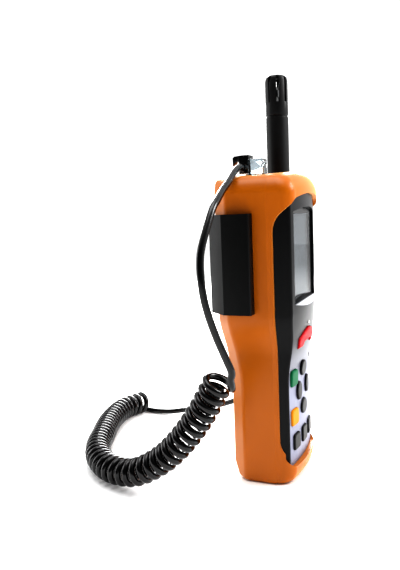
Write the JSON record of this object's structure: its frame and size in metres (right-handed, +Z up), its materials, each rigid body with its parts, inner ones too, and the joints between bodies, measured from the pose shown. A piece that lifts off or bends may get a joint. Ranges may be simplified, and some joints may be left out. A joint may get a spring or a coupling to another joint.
{
  "type": "infrared thermo-hygrometer",
  "caption": "Handheld infrared thermometer and humidity meter in an orange overmould, with a slotted humidity wand clipped beside its head and a curly lead plugged into the top",
  "frame": {"origin": "centre of the meter's foot, on the surface it stands on", "axes": "+Z up along the body, -Y out of the display, -X the side that shows the lead"},
  "size_m": [0.1789, 0.1934, 0.2772],
  "materials": {
    "orange_tpe": "satin soft overmould",
    "black_abs": "fine texture",
    "silver_panel": "metallic paint",
    "silver_trim": "bright metallic",
    "window_acrylic": "gloss tinted",
    "lcd_glass": "satin polariser",
    "green_board": "solder mask",
    "grey_silicone": "matt",
    "led_epoxy": "clear diffused",
    "red_silicone": "satin",
    "dark_silicone": "satin",
    "green_silicone": "satin",
    "amber_silicone": "satin",
    "battery_case": "wrapped steel can",
    "zinc_steel": "zinc plated",
    "brass_insert": "turned",
    "infrared_glass": "polished, dark coating",
    "clear_polycarbonate": "clear moulded",
    "copper_contacts": "stamped",
    "black_pvc": "satin cable jacket",
    "white_ceramic": "sintered"
  },
  "bodies": {
    "meter": {"overmould": "orange_tpe", "rear_housing": "black_abs", "front_housing": "black_abs", "keypad_panel": "silver_panel", "trim_crescent": "silver_trim", "lcd_lens": "window_acrylic", "lcd_module": "lcd_glass", "pcb": "green_board", "keypad_mat": "grey_silicone", "status_led": "led_epoxy", "buzzer": "black_abs", "battery": "battery_case", "battery_snap": "black_abs", "housing_screws": "zinc_steel", "pcb_screws": "zinc_steel", "tripod_insert": "brass_insert", "ir_lens": "infrared_glass", "ir_barrel": "black_abs", "thermopile": "zinc_steel", "laser_pointer": "brass_insert", "top_jack": "black_abs", "plug_body": "clear_polycarbonate", "plug_contacts": "copper_contacts", "plug_boot": "black_pvc", "lead_upper": "black_pvc", "lead_curl": "black_pvc", "lead_lower": "black_pvc", "wand_relief": "black_pvc", "wand_tube": "black_abs", "wand_cap": "black_abs", "humidity_sensor": "white_ceramic", "probe_clip": "black_abs"},
    "door": {"battery_door": "black_abs", "door_screw": "zinc_steel"},
    "power_key": {"power_key": "red_silicone"},
    "nav_up_key": {"nav_up_key": "dark_silicone"},
    "nav_down_key": {"nav_down_key": "dark_silicone"},
    "nav_left_key": {"nav_left_key": "dark_silicone"},
    "nav_right_key": {"nav_right_key": "dark_silicone"},
    "green_key": {"green_key": "green_silicone"},
    "amber_key": {"amber_key": "amber_silicone"},
    "low_left_key": {"low_left_key": "dark_silicone"},
    "low_mid_key": {"low_mid_key": "dark_silicone"},
    "low_right_key": {"low_right_key": "dark_silicone"}
  },
  "joints": [
    {"name": "power_press", "type": "slide", "parent": "meter", "child": "power_key", "axis": [0, 1, 0], "range_m": [0, 0.001], "stiffness_N_per_m": 800},
    {"name": "nav_up_press", "type": "slide", "parent": "meter", "child": "nav_up_key", "axis": [0, 1, 0], "range_m": [0, 0.001], "stiffness_N_per_m": 800},
    {"name": "nav_down_press", "type": "slide", "parent": "meter", "child": "nav_down_key", "axis": [0, 1, 0], "range_m": [0, 0.001], "stiffness_N_per_m": 800},
    {"name": "nav_left_press", "type": "slide", "parent": "meter", "child": "nav_left_key", "axis": [0, 1, 0], "range_m": [0, 0.001], "stiffness_N_per_m": 800},
    {"name": "nav_right_press", "type": "slide", "parent": "meter", "child": "nav_right_key", "axis": [0, 1, 0], "range_m": [0, 0.001], "stiffness_N_per_m": 800},
    {"name": "green_press", "type": "slide", "parent": "meter", "child": "green_key", "axis": [0, 1, 0], "range_m": [0, 0.001], "stiffness_N_per_m": 800},
    {"name": "amber_press", "type": "slide", "parent": "meter", "child": "amber_key", "axis": [0, 1, 0], "range_m": [0, 0.001], "stiffness_N_per_m": 800},
    {"name": "low_left_press", "type": "slide", "parent": "meter", "child": "low_left_key", "axis": [0, 1, 0], "range_m": [0, 0.001], "stiffness_N_per_m": 800},
    {"name": "low_mid_press", "type": "slide", "parent": "meter", "child": "low_mid_key", "axis": [0, 1, 0], "range_m": [0, 0.001], "stiffness_N_per_m": 800},
    {"name": "low_right_press", "type": "slide", "parent": "meter", "child": "low_right_key", "axis": [0, 1, 0], "range_m": [0, 0.001], "stiffness_N_per_m": 800},
    {"name": "door_lift", "type": "slide", "parent": "meter", "child": "door", "axis": [0, 1, 0], "range_m": [0, 0.02]}
  ]
}
